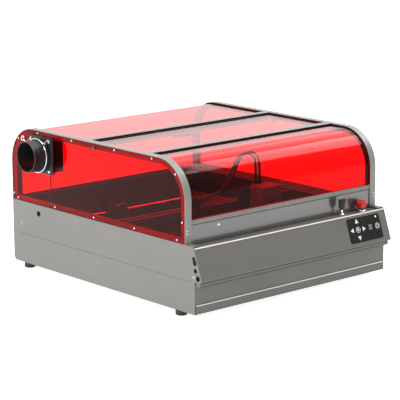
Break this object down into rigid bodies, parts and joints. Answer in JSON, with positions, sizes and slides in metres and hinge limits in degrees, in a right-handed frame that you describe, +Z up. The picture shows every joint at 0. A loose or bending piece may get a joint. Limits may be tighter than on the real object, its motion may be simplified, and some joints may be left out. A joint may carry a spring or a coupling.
{
  "type": "desktop laser cutter",
  "caption": "Enclosed desktop laser cutter: grey steel base, tilted console, hinged red acrylic hood, gantry laser head, side exhaust spigot and debris drawer.",
  "frame": {"origin": "middle of the bounding box's footprint, on the surface the feet stand on", "axes": "+Z up, +Y from the console towards the rear, +X to the right as seen from the console"},
  "size_m": [0.6482, 0.7011, 0.3513],
  "materials": {
    "panel_grey": "fine-textured grey powder coat",
    "band_grey": "fine-textured grey powder coat, lighter on the tops",
    "red_acrylic": "polished red laser-safe acrylic",
    "black_plastic": "satin black moulding",
    "overlay_black": "matt black keypad film",
    "key_black": "matt black key tops with white symbols",
    "stop_red": "glossy red",
    "bright_steel": "nickel-plated",
    "screw_steel": "zinc-plated",
    "clamp_steel": "bright spring steel",
    "rubber_black": "matt",
    "belt_rubber": "matt, toothed",
    "pcb_green": "solder mask",
    "black_anodised": "black anodised",
    "rail_aluminium": "dark anodised extrusion",
    "motor_black": "semi-gloss black",
    "bed_steel": "black coated steel",
    "tray_steel": "fine-textured grey powder coat",
    "hose_black": "satin black silicone"
  },
  "bodies": {
    "base": {"base_pan": "panel_grey", "side_panel_left": "panel_grey", "side_panel_right": "panel_grey", "rear_panel": "panel_grey", "front_panel": "panel_grey", "console_shell": "panel_grey", "control_overlay": "overlay_black", "control_board": "pcb_green", "key_lock_barrel": "bright_steel", "estop_collar": "bright_steel", "port_board": "black_plastic", "band_left": "band_grey", "band_right": "band_grey", "side_window_left": "red_acrylic", "side_window_right": "red_acrylic", "rear_hood_window": "red_acrylic", "rear_hood_frame": "band_grey", "camera_pod": "black_plastic", "hinge_pins": "screw_steel", "exhaust_spigot": "black_plastic", "hose_clamp": "clamp_steel", "fan_housing": "black_plastic", "fan_lead": "rubber_black", "panel_screws": "screw_steel", "feet": "rubber_black", "work_bed": "bed_steel", "y_rails": "rail_aluminium", "y_belts": "belt_rubber", "y_motor": "motor_black"},
    "lid": {"lid_window_top": "red_acrylic", "lid_window_front": "red_acrylic", "lid_crossbar": "band_grey", "lid_frame": "band_grey"},
    "gantry": {"gantry_beam": "rail_aluminium", "gantry_end_plates": "black_anodised", "x_belt": "belt_rubber", "x_motor": "motor_black", "hose_anchor": "black_plastic", "air_hose": "hose_black", "laser_cable": "hose_black"},
    "carriage": {"carriage_plate": "black_anodised"},
    "laser_head": {"laser_housing": "black_anodised", "laser_nozzle": "black_anodised"},
    "x_drive": {"x_drive_pulley": "screw_steel"},
    "x_idler": {"x_idler_pulley": "screw_steel"},
    "y_drive": {"y_drive_shaft": "screw_steel"},
    "y_idler": {"y_idler_pulleys": "screw_steel"},
    "exhaust_fan": {"fan_rotor": "black_plastic"},
    "drawer": {"debris_drawer": "tray_steel"},
    "key": {"safety_key": "black_plastic"},
    "estop_plunger": {"estop_stem": "bright_steel"},
    "estop_head": {"estop_cap": "stop_red"},
    "rocker": {"power_rocker": "black_plastic"},
    "key_up_cap": {"key_up": "key_black"},
    "key_left_cap": {"key_left": "key_black"},
    "key_start_cap": {"key_start": "key_black"},
    "key_right_cap": {"key_right": "key_black"},
    "key_down_cap": {"key_down": "key_black"},
    "key_frame_cap": {"key_frame": "key_black"},
    "key_power_cap": {"key_power": "key_black"}
  },
  "joints": [
    {"name": "lid_hinge", "type": "hinge", "parent": "base", "child": "lid", "pos_m": [0.0229, 0.02454, 0.339], "axis": [-1, 0, 0], "range_deg": [0, 70]},
    {"name": "gantry_slide", "type": "slide", "parent": "base", "child": "gantry", "axis": [0, 1, 0], "range_m": [-0.16, 0.27]},
    {"name": "carriage_slide", "type": "slide", "parent": "gantry", "child": "carriage", "axis": [1, 0, 0], "range_m": [-0.3, 0.08]},
    {"name": "focus_slide", "type": "slide", "parent": "carriage", "child": "laser_head", "axis": [0, 0, 1], "range_m": [-0.01, 0.025]},
    {"name": "x_drive_turn", "type": "hinge", "parent": "gantry", "child": "x_drive", "pos_m": [-0.2071, -0.05646, 0.138], "axis": [0, 1, 0], "continuous": true},
    {"name": "x_idler_turn", "type": "hinge", "parent": "gantry", "child": "x_idler", "pos_m": [0.2709, -0.05646, 0.138], "axis": [0, 1, 0], "continuous": true},
    {"name": "y_drive_turn", "type": "hinge", "parent": "base", "child": "y_drive", "pos_m": [0.0229, 0.32254, 0.096], "axis": [1, 0, 0], "continuous": true},
    {"name": "y_idler_turn", "type": "hinge", "parent": "base", "child": "y_idler", "pos_m": [0.0229, -0.26746, 0.096], "axis": [1, 0, 0], "continuous": true},
    {"name": "fan_spin", "type": "hinge", "parent": "base", "child": "exhaust_fan", "pos_m": [-0.2596, 0.22604, 0.2945], "axis": [1, 0, 0], "continuous": true},
    {"name": "drawer_slide", "type": "slide", "parent": "base", "child": "drawer", "axis": [0, -1, 0], "range_m": [0, 0.42]},
    {"name": "key_turn", "type": "hinge", "parent": "base", "child": "key", "pos_m": [0.1964, -0.30986, 0.167], "axis": [0, 0, 1], "range_deg": [0, 90]},
    {"name": "estop_push", "type": "slide", "parent": "base", "child": "estop_plunger", "axis": [0, 0, -1], "range_m": [0, 0.004], "stiffness_N_per_m": 4000},
    {"name": "estop_twist", "type": "hinge", "parent": "estop_plunger", "child": "estop_head", "pos_m": [0.2621, -0.30986, 0.178], "axis": [0, 0, -1], "range_deg": [0, 45], "stiffness_Nm_per_rad": 0.3},
    {"name": "rocker_tilt", "type": "hinge", "parent": "base", "child": "rocker", "pos_m": [-0.2757, -0.32666, 0.1366], "axis": [0, -0.9433, 0.3318], "range_deg": [0, 16]},
    {"name": "key_up_press", "type": "slide", "parent": "base", "child": "key_up_cap", "axis": [0, 0.9433, -0.3318], "range_m": [0, 0.0006], "stiffness_N_per_m": 1500},
    {"name": "key_left_press", "type": "slide", "parent": "base", "child": "key_left_cap", "axis": [0, 0.9433, -0.3318], "range_m": [0, 0.0006], "stiffness_N_per_m": 1500},
    {"name": "key_start_press", "type": "slide", "parent": "base", "child": "key_start_cap", "axis": [0, 0.9433, -0.3318], "range_m": [0, 0.0006], "stiffness_N_per_m": 1500},
    {"name": "key_right_press", "type": "slide", "parent": "base", "child": "key_right_cap", "axis": [0, 0.9433, -0.3318], "range_m": [0, 0.0006], "stiffness_N_per_m": 1500},
    {"name": "key_down_press", "type": "slide", "parent": "base", "child": "key_down_cap", "axis": [0, 0.9433, -0.3318], "range_m": [0, 0.0006], "stiffness_N_per_m": 1500},
    {"name": "key_frame_press", "type": "slide", "parent": "base", "child": "key_frame_cap", "axis": [0, 0.9433, -0.3318], "range_m": [0, 0.0006], "stiffness_N_per_m": 1500},
    {"name": "key_power_press", "type": "slide", "parent": "base", "child": "key_power_cap", "axis": [0, 0.9433, -0.3318], "range_m": [0, 0.0006], "stiffness_N_per_m": 1500}
  ],
  "couplings": [
    {"joint": "x_drive_turn", "follows": "carriage_slide", "rad_per_m": 151.51},
    {"joint": "x_idler_turn", "follows": "carriage_slide", "rad_per_m": 151.51},
    {"joint": "y_drive_turn", "follows": "gantry_slide", "rad_per_m": -151.51},
    {"joint": "y_idler_turn", "follows": "gantry_slide", "rad_per_m": -151.51}
  ]
}
